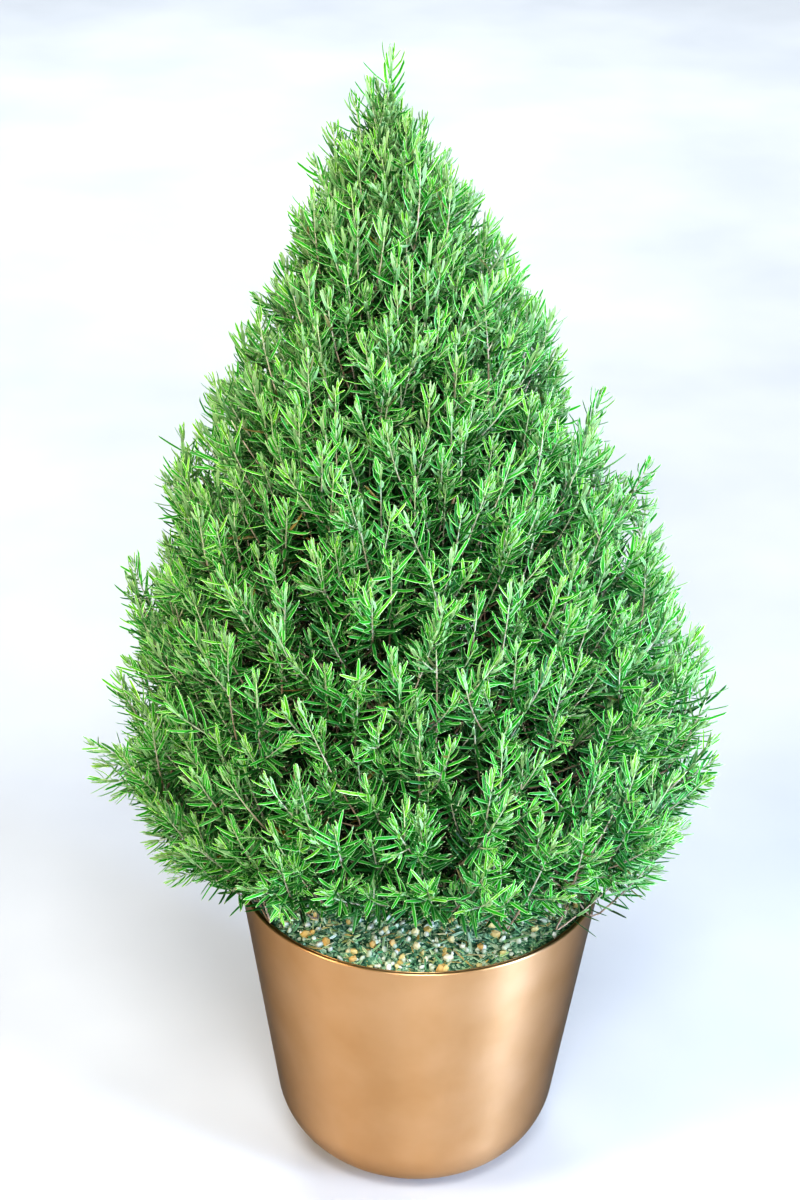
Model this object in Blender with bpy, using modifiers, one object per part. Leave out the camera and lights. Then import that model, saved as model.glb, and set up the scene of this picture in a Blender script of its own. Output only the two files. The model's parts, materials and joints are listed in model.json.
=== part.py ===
# Potted rosemary plant: a cone-shaped rosemary bush in a tapered round metal pot.
# Metres, +Z up. The origin is the centre of the flat underside of the pot.

import math
import random

import bmesh
import bpy
from mathutils import Vector

OBJECT_NAME = "potted_rosemary_plant"
GAP = 0.0003                  # clearance between pieces that touch

# Pot: a spun metal shell with a straight tapered wall and a generously rounded foot
RIM_RADIUS = 0.130
POT_HEIGHT = 0.233
WALL_ANGLE = math.radians(8.45)   # how far the wall leans outward from the vertical
FOOT_ROUND = 0.060            # radius of the turn from the wall into the underside
WALL = 0.0022                 # sheet thickness
LIP_WIDTH = 0.0040            # rolled lip, turned inward
LIP_HEIGHT = 0.0032
LIP_STEPS = 3                 # flats on each rounded corner of the lip
FOOT_STEPS = 8                # flats on the round of the foot
POT_STEPS = 64

# Soil: fills the pot and rises a little towards the stem
SOIL_DROP = 0.0085            # rim down to the soil at the wall
SOIL_MOUND = 0.0050           # rise from the wall to the stem
SOIL_STEPS = 48
SOIL_RINGS = 5

# Trunk: one woody leader, straight below the soil and slightly wavy above it
TRUNK_RADIUS = 0.0095
TRUNK_TOP_RADIUS = 0.0022
TRUNK_BURIED = 0.055
TRUNK_TOP = 0.425             # above the rim
TRUNK_POINTS = 13
TRUNK_WAVE = 0.0035
TRUNK_WAVES = 1.5
TRUNK_CROSS_WAVE = 0.6        # the wave towards +Y, as a share of the one towards +X
TRUNK_TAPER = 0.8             # below 1 the trunk thins faster near the soil
TRUNK_ROUNDNESS = 3           # bevel resolution: ten sides
BORE_SIDES = 24

# Crown: the leader leans towards -X, and the tiers lean with it
LEAN = -0.052                 # sideways shift for each metre above the rim
BRANCH_RADIUS = 0.0034
BRANCH_TIP_RADIUS = 0.0018
BRANCH_POINTS = 6
BRANCH_ROUNDNESS = 1          # bevel resolution: six sides
BRANCH_RISE = 0.045           # a branch leaves the trunk this far below its spray
BRANCH_TURN = 0.5             # share of a branch that lies in line with its spray
BRANCH_START_ABOVE_SOIL = 0.012
SPRAY_SEGMENTS = 10
SPRAY_RINGS = 7
SPRAY_FULLEST = 0.57          # where along its length a spray is widest
SPRAY_CURL = 0.07             # how far its tip turns up, as a share of its length
TIP_STRAY = 0.05              # share by which the sprays differ in reach
HEIGHT_STRAY = 0.006
SEED = 7

# At the front, towards -Y, the skirt is kept short so that the soil shows
OPEN_FRONT = 0.075            # how far in front of the trunk the skirt reaches at rim height
OPEN_FRONT_SLOPE = 1.45       # and how much further for each metre of height

# One row for each tier of the crown, heights above the rim:
# count, inner end (radius, height), outer end (radius, height), half width,
# half thickness, first azimuth in degrees
TIERS = {
    "skirt": (7, (0.056, 0.048), (0.208, 0.038), 0.056, 0.033, 12),
    "lower": (7, (0.050, 0.110), (0.218, 0.150), 0.058, 0.037, 38),
    "middle": (6, (0.044, 0.180), (0.190, 0.262), 0.058, 0.038, 5),
    "upper": (4, (0.036, 0.262), (0.142, 0.382), 0.055, 0.037, 20),
    "high": (3, (0.028, 0.352), (0.084, 0.484), 0.040, 0.031, 75),
}
CROWN_TIP_BASE = 0.432
CROWN_TIP_TOP = 0.604
CROWN_TIP_HALF_WIDTH = 0.028

COLOURS = {                   # linear base colour, roughness, metallic
    "pot": ((0.62, 0.36, 0.15), 0.32, 1.0),
    "soil": ((0.035, 0.032, 0.024), 0.95, 0.0),
    "wood": ((0.20, 0.14, 0.09), 0.85, 0.0),
    "foliage": ((0.05, 0.16, 0.03), 0.55, 0.0),
}


def clear_scene():
    for thing in list(bpy.data.objects):
        bpy.data.objects.remove(thing, do_unlink=True)


def new_collection(name):
    collection = bpy.data.collections.new(name)
    bpy.context.scene.collection.children.link(collection)
    return collection


def new_material(name, finish):
    colour, roughness, metallic = COLOURS[finish]
    material = bpy.data.materials.new(name + "_" + finish)
    material.use_nodes = True
    shader = material.node_tree.nodes["Principled BSDF"]
    shader.inputs["Base Color"].default_value = (*colour, 1.0)
    shader.inputs["Roughness"].default_value = roughness
    shader.inputs["Metallic"].default_value = metallic
    return material


def add_part(name, data, finish, collection):
    part = bpy.data.objects.new(name, data)
    data.materials.append(new_material(name, finish))
    collection.objects.link(part)
    return part


def arc(centre, radius, start, end, steps):
    """Points of an arc in the (radius, height) plane, both ends included."""
    points = []
    for step in range(steps + 1):
        angle = start + (end - start) * step / steps
        points.append((centre[0] + radius * math.cos(angle), centre[1] + radius * math.sin(angle)))
    return points


def wall_radius(height, inset):
    """Radius of the tapered wall at a height, moved in by inset square to the wall."""
    outer = RIM_RADIUS - (POT_HEIGHT - height) * math.tan(WALL_ANGLE)
    return outer - inset / math.cos(WALL_ANGLE)


def foot_centre():
    return wall_radius(FOOT_ROUND, FOOT_ROUND), FOOT_ROUND


def shell_line(inset, top):
    """The wall from top down round the foot to the axis, moved in by inset."""
    centre = foot_centre()
    turn = arc(centre, FOOT_ROUND - inset, -WALL_ANGLE, -math.pi / 2, FOOT_STEPS)
    return [(wall_radius(top, inset), top)] + turn + [(0.0, inset)]


def turned(name, profile, steps, finish, collection):
    """Turn a profile at +X, which runs down its outer side, about the Z axis."""
    mesh = bpy.data.meshes.new(name)
    corners = [(radius, 0.0, height) for radius, height in profile]
    edges = [(index, index + 1) for index in range(len(corners) - 1)]
    mesh.from_pydata(corners, edges, [])
    part = add_part(name, mesh, finish, collection)
    screw = part.modifiers.new("turn", "SCREW")
    screw.axis = "Z"
    screw.steps = steps
    screw.render_steps = steps
    screw.use_merge_vertices = True
    screw.merge_threshold = 0.00001
    screw.use_smooth_shade = True
    return part


def make_pot(collection):
    outer = shell_line(0.0, POT_HEIGHT - LIP_HEIGHT / 2)
    inner = shell_line(WALL, POT_HEIGHT - LIP_HEIGHT)
    half = LIP_HEIGHT / 2
    lip_inner = (RIM_RADIUS - LIP_WIDTH + half, POT_HEIGHT - half)
    lip_outer = (RIM_RADIUS - half, POT_HEIGHT - half)
    lip = arc(lip_inner, half, -math.pi, -1.5 * math.pi, LIP_STEPS)
    lip += arc(lip_outer, half, math.pi / 2, 0.0, LIP_STEPS)
    profile = list(reversed(inner)) + lip + outer[1:]
    return turned("pot", profile, POT_STEPS, "pot", collection)


def soil_height(radius):
    """Height of the soil's surface: highest at the stem and level at the wall."""
    edge = wall_radius(POT_HEIGHT - SOIL_DROP, WALL + GAP)
    rise = 0.5 + 0.5 * math.cos(math.pi * min(radius / edge, 1.0))
    return POT_HEIGHT - SOIL_DROP + SOIL_MOUND * rise


def make_soil(collection, cutters):
    side = shell_line(WALL + GAP, POT_HEIGHT - SOIL_DROP)
    edge = side[0][0]
    top = []
    for ring in range(SOIL_RINGS):
        radius = edge * ring / SOIL_RINGS
        top.append((radius, soil_height(radius)))
    soil = turned("soil", top + side, SOIL_STEPS, "soil", collection)

    bpy.ops.mesh.primitive_cylinder_add(
        vertices=BORE_SIDES,
        radius=TRUNK_RADIUS + 2 * GAP,
        depth=2 * TRUNK_BURIED + 2 * GAP,
        location=(0.0, 0.0, soil_height(0.0)),
    )
    bore = bpy.context.object
    bore.name = "stem_bore"
    bore.hide_render = True
    bore.display_type = "WIRE"
    for holder in list(bore.users_collection):
        holder.objects.unlink(bore)
    cutters.objects.link(bore)
    cut = soil.modifiers.new("stem_bore", "BOOLEAN")
    cut.operation = "DIFFERENCE"
    cut.solver = "EXACT"
    cut.object = bore
    return soil


def tube(name, points, radii, bevel_resolution, collection):
    """A round woody stem through the points, tapering by the given radii."""
    curve = bpy.data.curves.new(name, "CURVE")
    curve.dimensions = "3D"
    curve.bevel_depth = 1.0
    curve.bevel_resolution = bevel_resolution
    curve.use_fill_caps = True
    spline = curve.splines.new("POLY")
    spline.points.add(len(points) - 1)
    for place, point, radius in zip(spline.points, points, radii):
        place.co = (*point, 1.0)
        place.radius = radius
    return add_part(name, curve, "wood", collection)


def trunk_point(above_rim):
    """Centre of the trunk: straight in the soil, then leaning and slightly wavy."""
    climb = max(above_rim, 0.0)
    swing = TRUNK_WAVE * math.sin(2 * math.pi * TRUNK_WAVES * climb / TRUNK_TOP)
    return Vector((LEAN * climb + swing, TRUNK_CROSS_WAVE * swing, POT_HEIGHT + above_rim))


def trunk_radius(above_rim):
    share = min(max(above_rim / TRUNK_TOP, 0.0), 1.0)
    return TRUNK_RADIUS + (TRUNK_TOP_RADIUS - TRUNK_RADIUS) * share ** TRUNK_TAPER


def make_trunk(collection):
    bottom = soil_height(0.0) - POT_HEIGHT - TRUNK_BURIED
    heights = [bottom]
    for step in range(TRUNK_POINTS):
        heights.append(TRUNK_TOP * step / (TRUNK_POINTS - 1))
    points = [trunk_point(height) for height in heights]
    radii = [trunk_radius(height) for height in heights]
    return tube("trunk", points, radii, TRUNK_ROUNDNESS, collection)


def crown_point(radius, above_rim, azimuth):
    """A place in the crown, round the leaning line of the leader."""
    return Vector((
        LEAN * above_rim + radius * math.cos(azimuth),
        radius * math.sin(azimuth),
        POT_HEIGHT + above_rim,
    ))


def spray_mesh(name, length, half_width, half_thickness):
    """A leafy spray's outer form: a long egg along +Z, its base at the origin, its tip turned up."""
    shape = bmesh.new()
    bmesh.ops.create_uvsphere(shape, u_segments=SPRAY_SEGMENTS, v_segments=SPRAY_RINGS, radius=1.0)
    skew = math.log(SPRAY_FULLEST) / math.log(0.5)
    for vertex in shape.verts:
        along = max(0.5 + 0.5 * vertex.co.z, 0.0)
        vertex.co.x *= half_width
        vertex.co.y = vertex.co.y * half_thickness + SPRAY_CURL * length * along ** 2
        vertex.co.z = length * along ** skew
    mesh = bpy.data.meshes.new(name)
    shape.to_mesh(mesh)
    shape.free()
    mesh.shade_smooth()
    return mesh


def make_spray(name, base, tip, half_width, half_thickness, collection):
    reach = tip - base
    mesh = spray_mesh(name, reach.length, half_width, half_thickness)
    spray = add_part(name, mesh, "foliage", collection)
    spray.location = base
    spray.rotation_euler = reach.to_track_quat("Z", "Y").to_euler()
    return spray


def make_branch(name, azimuth, base, base_above_rim, aim, collection):
    """A woody branch from the trunk's side that turns into its spray's line, along aim."""
    lowest = soil_height(0.0) - POT_HEIGHT + BRANCH_START_ABOVE_SOIL
    start_height = max(base_above_rim - BRANCH_RISE, lowest)
    outward = Vector((math.cos(azimuth), math.sin(azimuth), 0.0))
    clear = trunk_radius(start_height) + BRANCH_RADIUS + 3 * GAP
    start = trunk_point(start_height) + outward * clear
    end = base - aim * 2 * GAP
    bend = base - aim * BRANCH_TURN * (base - start).length
    points = []
    radii = []
    for step in range(BRANCH_POINTS):
        share = step / (BRANCH_POINTS - 1)
        first = start.lerp(bend, share)
        points.append(first.lerp(bend.lerp(end, share), share))
        radii.append(BRANCH_RADIUS + (BRANCH_TIP_RADIUS - BRANCH_RADIUS) * share)
    return tube(name, points, radii, BRANCH_ROUNDNESS, collection)


def front_reach(azimuth, height):
    """How far a spray may reach before it covers the soil seen from the front."""
    frontward = max(-math.sin(azimuth), 0.01)
    return (OPEN_FRONT + OPEN_FRONT_SLOPE * height) / frontward


def make_tier(tier, collection, chance):
    count, inner, outer, half_width, half_thickness, first = TIERS[tier]
    for index in range(count):
        azimuth = math.radians(first) + 2 * math.pi * index / count
        reach = outer[0] * (1 + TIP_STRAY * chance.uniform(-1, 1))
        rise = outer[1] + HEIGHT_STRAY * chance.uniform(-1, 1)
        size = min(1.0, front_reach(azimuth, rise) / reach)
        reach *= size
        base = crown_point(inner[0], inner[1], azimuth)
        tip = crown_point(reach, rise, azimuth)
        aim = (tip - base).normalized()
        spray_name = f"{tier}_spray_{index + 1}"
        branch_name = f"{tier}_branch_{index + 1}"
        make_spray(spray_name, base, tip, half_width * size, half_thickness * size, collection)
        make_branch(branch_name, azimuth, base, inner[1], aim, collection)


def make_crown_tip(collection):
    base = crown_point(0.0, CROWN_TIP_BASE, 0.0)
    tip = crown_point(0.0, CROWN_TIP_TOP, 0.0)
    width = CROWN_TIP_HALF_WIDTH
    return make_spray("crown_tip", base, tip, width, width, collection)


def main():
    clear_scene()
    parts = new_collection(OBJECT_NAME)
    cutters = new_collection("cutters")
    chance = random.Random(SEED)
    make_pot(parts)
    make_soil(parts, cutters)
    make_trunk(parts)
    for tier in TIERS:
        make_tier(tier, parts, chance)
    make_crown_tip(parts)


main()
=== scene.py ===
import json
import math

import bmesh
import bpy
import numpy as np
from mathutils import Matrix, Vector

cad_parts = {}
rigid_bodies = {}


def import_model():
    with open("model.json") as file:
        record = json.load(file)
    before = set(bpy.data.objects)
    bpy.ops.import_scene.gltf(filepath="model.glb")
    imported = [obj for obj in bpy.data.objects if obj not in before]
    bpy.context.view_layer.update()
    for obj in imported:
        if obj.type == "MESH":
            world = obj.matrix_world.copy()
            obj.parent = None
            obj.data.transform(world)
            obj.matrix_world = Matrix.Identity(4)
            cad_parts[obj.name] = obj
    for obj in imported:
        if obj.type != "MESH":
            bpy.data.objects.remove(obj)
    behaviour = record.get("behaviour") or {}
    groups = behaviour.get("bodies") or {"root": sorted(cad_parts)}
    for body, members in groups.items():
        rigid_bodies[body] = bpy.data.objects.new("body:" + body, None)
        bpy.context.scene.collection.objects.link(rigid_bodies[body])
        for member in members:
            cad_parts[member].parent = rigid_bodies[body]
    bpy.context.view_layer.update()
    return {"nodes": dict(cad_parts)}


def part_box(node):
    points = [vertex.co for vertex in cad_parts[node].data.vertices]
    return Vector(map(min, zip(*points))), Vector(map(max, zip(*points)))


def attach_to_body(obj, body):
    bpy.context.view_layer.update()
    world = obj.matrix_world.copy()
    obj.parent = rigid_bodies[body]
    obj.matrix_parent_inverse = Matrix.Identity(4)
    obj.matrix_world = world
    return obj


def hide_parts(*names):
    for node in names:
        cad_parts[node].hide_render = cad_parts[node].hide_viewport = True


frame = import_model()
mm = 0.001
potLow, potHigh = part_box("pot")
rimHeight = potHigh.z
rimRadius = (potHigh.x - potLow.x) / 2
print("frame loaded:", len(frame["nodes"]), "nodes, rim at", round(rimHeight, 4))


def srgb(code):
    parts = [int(code[i:i + 2], 16) / 255 for i in (1, 3, 5)]
    linear = [p / 12.92 if p <= 0.04045 else ((p + 0.055) / 1.055) ** 2.4 for p in parts]
    return (*linear, 1.0)


def setNode(tree, node, settings):
    # a setting is a property of the node, or a value, hex colour or link for one of its sockets
    for name, value in settings.items():
        if name == "stops":
            while len(node.color_ramp.elements) < len(value):
                node.color_ramp.elements.new(0.5)
            for element, (place, code) in zip(node.color_ramp.elements, value):
                element.position = place
                element.color = srgb(code)
        elif isinstance(value, bpy.types.NodeSocket):
            tree.links.new(value, node.inputs[name])
        elif isinstance(name, str) and hasattr(node, name):
            setattr(node, name, value)
        else:
            node.inputs[name].default_value = srgb(value) if isinstance(value, str) else value


def addNode(tree, kind, settings):
    node = tree.nodes.new("ShaderNode" + kind)
    setNode(tree, node, settings)
    return node.outputs


def newMaterial(name):
    material = bpy.data.materials.new(name)
    material.use_nodes = True
    tree = material.node_tree
    return material, tree, tree.nodes["Principled BSDF"]


def layOver(tree, colour, layer, value, start, end, top):
    # one colour over another: none of it at start, rising smoothly to top at end
    strength = addNode(tree, "MapRange", {
        "interpolation_type": "SMOOTHSTEP", "Value": value, "From Min": start, "From Max": end,
        "To Max": top})["Result"]
    return addNode(tree, "Mix", {"data_type": "RGBA", 0: strength, 6: colour, 7: layer})[2]


def meshPiece(name, points, faceSets, material):
    sizes = np.concatenate([np.full(len(faces), faces.shape[1]) for faces in faceSets])
    corners = np.concatenate([faces.ravel() for faces in faceSets])
    starts = np.concatenate(([0], np.cumsum(sizes)[:-1]))
    mesh = bpy.data.meshes.new(name)
    mesh.vertices.add(len(points))
    mesh.vertices.foreach_set("co", points.astype(np.float32).ravel())
    mesh.loops.add(len(corners))
    mesh.loops.foreach_set("vertex_index", corners.astype(np.int32))
    mesh.polygons.add(len(sizes))
    mesh.polygons.foreach_set("loop_start", starts.astype(np.int32))
    mesh.update(calc_edges=True)
    mesh.materials.append(material)
    mesh.shade_smooth()
    piece = bpy.data.objects.new(name, mesh)
    bpy.context.scene.collection.objects.link(piece)
    return piece


def paint(mesh, name, domain, vectors):
    layer = mesh.attributes.new(name, "FLOAT_VECTOR", domain)
    layer.data.foreach_set("vector", vectors.astype(np.float32).ravel())


def layMap(mesh, places):
    layer = mesh.uv_layers.new(name="OFBake")
    layer.data.foreach_set("uv", places.astype(np.float32).ravel())


def unit(vectors):
    return vectors / np.linalg.norm(vectors, axis=-1, keepdims=True)


def attach(piece, slotName, *nodes):
    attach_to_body(piece, "root")
    if nodes:
        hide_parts(*nodes)


camera = {"lens": 78.0, "pitch": 28.1, "roll": 1.0, "place": (-0.0175, -1.565, rimHeight + 1.054)}
studio = {"floorRadius": 3.35, "floorSides": 96, "sky": "#e9eef5", "skyStrength": 0.12, "wall": 0.7}
plantMiddle = (0.0, 0.0, rimHeight + 0.1)
lamps = {   # place, target, size, watts, colour
    "keyWindow": ((1.9, -1.45, 1.8), plantMiddle, (0.5, 1.0), 21, "#f4faff"),
    "lowStrip": ((1.2, -0.82, 0.42), plantMiddle, (0.2, 0.6), 23, "#b0ceff"),
    "frontTop": ((0.15, -2.6, 3.5), plantMiddle, (1.2, 0.7), 83, "#f9fcff"),
    "frontLow": ((0.15, -2.2, 1.5), plantMiddle, (0.8, 0.4), 17, "#f9fcff"),
    "warmFill": ((-1.9, -1.2, 1.6), plantMiddle, (0.6, 0.9), 29, "#ffecd0"),
    "overhead": ((0.0, 0.25, 2.9), plantMiddle, (0.9, 0.9), 7, "#f7fbff"),
    "backFill": ((-0.8, 2.4, 2.0), plantMiddle, (1.2, 0.8), 21, "#f7fbff"),
    "backWash": ((0.0, 3.0, 2.0), (0.0, 3.0, 0.0), (3.6, 2.0), 60, "#f7fbff"),
    "frontWash": ((0.0, -4.2, 2.0), (0.0, -4.2, 0.0), (3.6, 1.6), 36, "#f7fbff"),
}


def setCamera():
    data = bpy.data.cameras.new("camera")
    data.lens = camera["lens"]
    data.sensor_width = 36.0
    eye = bpy.data.objects.new("camera", data)
    tilt = Matrix.Rotation(math.radians(90 - camera["pitch"]), 4, "X")
    roll = Matrix.Rotation(math.radians(camera["roll"]), 4, "Z")
    eye.matrix_world = Matrix.Translation(camera["place"]) @ tilt @ roll
    bpy.context.scene.collection.objects.link(eye)
    bpy.context.scene.camera = eye


def setLamps():
    for name, (place, target, size, watts, colour) in lamps.items():
        data = bpy.data.lights.new(name, "AREA")
        data.shape = "RECTANGLE"
        data.size, data.size_y = size
        data.energy = watts
        data.color = srgb(colour)[:3]
        lamp = bpy.data.objects.new(name, data)
        aim = (Vector(target) - Vector(place)).to_track_quat("-Z", "Y")
        lamp.matrix_world = Matrix.Translation(place) @ aim.to_matrix().to_4x4()
        bpy.context.scene.collection.objects.link(lamp)


def setWorld():
    world = bpy.data.worlds.new("studioAir")
    world.use_nodes = True
    tree = world.node_tree
    sky = tree.nodes["Background"]
    setNode(tree, sky, {"Color": studio["sky"], "Strength": studio["skyStrength"]})
    # the wall of the studio looks paler than the light that it gives back
    wall = addNode(tree, "Background", {"Color": studio["sky"], "Strength": studio["wall"]})
    seen = addNode(tree, "LightPath", {})["Is Camera Ray"]
    both = addNode(tree, "MixShader", {0: seen, 1: sky.outputs[0], 2: wall[0]})
    setNode(tree, tree.nodes["World Output"], {"Surface": both["Shader"]})
    bpy.context.scene.world = world
    bpy.context.scene.view_settings.view_transform = "Standard"
    bpy.context.scene.view_settings.look = "High Contrast"


def paleFloor():
    # sealed screed: pale, matt, with a faint trowelled cloudiness about 300 mm across
    material, tree, shader = newMaterial("sealedScreed")
    place = addNode(tree, "TexCoord", {})["Object"]
    cloud = addNode(tree, "TexNoise", {"Vector": place, "Scale": 1 / (300 * mm), "Detail": 3.0})["Fac"]
    colour = addNode(tree, "ValToRGB", {"Fac": cloud, "stops": [(0.3, "#b9bdc2"), (0.7, "#c6c9cd")]})
    setNode(tree, shader, {"Base Color": colour["Color"], "Roughness": 0.6})
    sides = studio["floorSides"]
    turn = np.arange(sides) * 2 * math.pi / sides
    corners = np.stack((np.cos(turn), np.sin(turn), turn * 0), axis=1) * studio["floorRadius"]
    floor = meshPiece("floor", corners, [np.arange(sides)[None]], material)


setCamera()
setLamps()
setWorld()
paleFloor()
print("studio set")


pot = {
    "wallAngle": math.radians(8.45), "footRound": 60 * mm, "wall": 2.2 * mm,
    "lipWidth": 4.0 * mm, "lipHeight": 3.2 * mm, "lipRound": 1.2 * mm, "lipInnerRound": 0.7 * mm,
    "seam": 0.5 * mm, "seamInset": 2.5 * mm, "steps": 256, "footSteps": 40, "lipSteps": 8,
}


def arcPoints(centre, radius, start, end, steps):
    angles = np.linspace(start, end, steps + 1)
    return [(centre[0] + radius * math.cos(a), centre[1] + radius * math.sin(a)) for a in angles]


def wallRadius(height, inset=0.0):
    outer = rimRadius - (rimHeight - height) * math.tan(pot["wallAngle"])
    return outer - inset / math.cos(pot["wallAngle"])


def ringFaces(rings, sides):
    # the faces between rings of points that follow one another
    here = np.arange(sides)
    after = (here + 1) % sides
    low = (np.arange(rings - 1) * sides)[:, None]
    high = low + sides
    return np.stack((low + here, low + after, high + after, high + here), axis=-1).reshape(-1, 4)


def ringPiece(name, points, sides, ends, material, inward=False):
    # rings closed by a fan of faces to a point at each end
    quads = ringFaces(len(points) // sides, sides)
    here = np.arange(sides)
    after = (here + 1) % sides
    last, tail = np.full(sides, len(points)), len(points) - sides
    fans = np.vstack((np.stack((last, after, here), axis=1),
                      np.stack((last + 1, tail + here, tail + after), axis=1)))
    if inward:
        quads, fans = [np.roll(faces[:, ::-1], 1, axis=1) for faces in (quads, fans)]
    return meshPiece(name, np.vstack((points, ends)), [quads, fans], material)


def turned(name, profile, steps, material):
    # the profile starts and ends on the axis, the outside first
    ring = np.array(profile[1:-1])
    turn = np.linspace(0, 2 * math.pi, steps, endpoint=False)
    x = ring[:, :1] * np.cos(turn)
    y = ring[:, :1] * np.sin(turn)
    z = np.repeat(ring[:, 1:], steps, axis=1)
    points = np.stack((x, y, z), axis=-1).reshape(-1, 3)
    ends = [(0, 0, profile[0][1]), (0, 0, profile[-1][1])]
    return ringPiece(name, points, steps, ends, material)


def potProfile():
    lean = pot["wallAngle"]
    foot = pot["footRound"]
    wall = pot["wall"]
    lip = pot["lipRound"]
    outside = arcPoints((wallRadius(foot, foot), foot), foot, -math.pi / 2, -lean, pot["footSteps"])
    outerEdge = arcPoints((rimRadius - lip, rimHeight - lip), lip, -lean, math.pi / 2, pot["lipSteps"])
    # a fine turned line where the lip's sheet is folded over
    seam = pot["seam"]
    seamEdge = rimRadius - pot["seamInset"]
    fold = [(seamEdge, rimHeight - 0.1 * mm), (seamEdge - 0.1 * mm, rimHeight - 1.2 * seam),
            (seamEdge - seam, rimHeight - 1.2 * seam), (seamEdge - 1.1 * seam, rimHeight - 0.2 * mm)]
    innerRound = pot["lipInnerRound"]
    innerEdge = arcPoints((rimRadius - pot["lipWidth"] + innerRound, rimHeight - 0.2 * mm - innerRound),
                          innerRound, math.pi / 2, math.pi, pot["lipSteps"])
    under = rimHeight - pot["lipHeight"]
    neck = [(rimRadius - pot["lipWidth"], under), (wallRadius(under, wall), under - 0.3 * mm)]
    inside = arcPoints((wallRadius(foot, foot), foot), foot - wall, -lean, -math.pi / 2,
                       pot["footSteps"])
    return [(0, 0)] + outside + outerEdge + fold + innerEdge + neck + inside + [(0, wall)]


def copperLacquer():
    # spun aluminium under tinted lacquer: satin copper-gold, its fine spinning lines pull each
    # reflection into a tall soft band, with a little orange peel in the lacquer
    material, tree, shader = newMaterial("copperTintedLacquer")
    place = addNode(tree, "TexCoord", {})["Object"]
    cloud = addNode(tree, "TexNoise", {"Vector": place, "Scale": 1 / (50 * mm), "Detail": 3.0})["Fac"]
    smudge = addNode(tree, "TexNoise", {"Vector": place, "Scale": 1 / (18 * mm), "Detail": 4.0})["Fac"]
    peel = addNode(tree, "TexNoise", {"Vector": place, "Scale": 1 / (1.8 * mm), "Detail": 2.0})["Fac"]
    colour = addNode(tree, "ValToRGB", {"Fac": cloud, "stops": [(0.3, "#cfa578"), (0.7, "#d8b086")]})
    rough = addNode(tree, "MapRange", {"Value": smudge, "To Min": 0.36, "To Max": 0.46})
    around = addNode(tree, "Tangent", {"direction_type": "RADIAL", "axis": "Z"})
    dimples = addNode(tree, "Bump", {"Height": peel, "Distance": 0.04 * mm, "Strength": 0.6})
    # the dark blue tint deepens and cools the colour towards the edges, where the lacquer is seen
    # aslant; its blue is a painted reflection of a cool floor beside the pot
    setNode(tree, shader, {
        "Base Color": colour["Color"], "Metallic": 1.0, "Roughness": rough["Result"],
        "Specular Tint": "#35789e", "Anisotropic": 0.7, "Anisotropic Rotation": 0.25,
        "Tangent": around["Tangent"], "Normal": dimples["Normal"]})
    return material


potShell = turned("pot_shell", potProfile(), pot["steps"], copperLacquer())
attach(potShell, "copper_lacquer", "pot")
print("pot turned")


soil = {
    "rings": 130, "steps": 320, "footSteps": 12, "seed": 21,
    "drop": 8.5 * mm, "gap": 0.5 * mm,                    # below the rim, and from the pot's wall
    "mound": 5.0 * mm, "lump": 2.2 * mm, "grit": 0.9 * mm,
    "lumpSize": 16 * mm, "gritSize": 5 * mm,
    "perlite": 520, "pumice": 130, "fines": 2600, "litter": 3600,
    "spread": (12 * mm, 119 * mm),                        # where grains and litter lie, from the axis
}


def smoothNoise(points, size, seed):
    # a few seeded sine waves added up: hills about size across, between about -1 and 1
    rng = np.random.default_rng(seed)
    total = np.zeros(len(points))
    for _ in range(14):
        heading = rng.uniform(0, 2 * math.pi)
        reach = size * rng.uniform(0.6, 1.8)
        phase = rng.uniform(0, 2 * math.pi)
        along = points[:, 0] * math.cos(heading) + points[:, 1] * math.sin(heading)
        total += np.sin(along * 2 * math.pi / reach + phase)
    return total / 14 * 1.9


def soilHeight(x, y):
    low = rimHeight - soil["drop"]
    away = np.clip(np.hypot(x, y) / wallRadius(low, pot["wall"]), 0, 1)
    base = low + soil["mound"] * (0.5 + 0.5 * np.cos(math.pi * away))
    flat = np.stack((x, y), axis=1)
    lumps = soil["lump"] * smoothNoise(flat, soil["lumpSize"], 3)
    lumps = lumps + soil["grit"] * smoothNoise(flat, soil["gritSize"], 4)
    return base + lumps * np.clip((1 - away) * 9, 0.15, 1)


def pottingMix():
    # watered peat and composted bark, green with algae: crumbs of about 3.5 mm, darkened in their
    # hollows as painted shade and dusted pale on their tops, all dull
    material, tree, shader = newMaterial("peatPottingMix")
    place = addNode(tree, "TexCoord", {})["Object"]
    crumb = addNode(tree, "TexNoise", {
        "Vector": place, "Scale": 1 / (3.5 * mm), "Detail": 5.0, "Roughness": 0.65})["Fac"]
    # the crumbs' low parts take the darkest colours, painted shade in their hollows
    colour = addNode(tree, "ValToRGB", {"Fac": crumb, "stops": [
        (0.34, "#1c3c30"), (0.48, "#4f8268"), (0.6, "#a4ccac"), (0.72, "#f2f6e0")]})
    crumbs = addNode(tree, "Bump", {"Height": crumb, "Distance": 1.2 * mm})
    setNode(tree, shader, {
        "Base Color": colour["Color"], "Roughness": 0.95, "Normal": crumbs["Normal"]})
    return material


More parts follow.
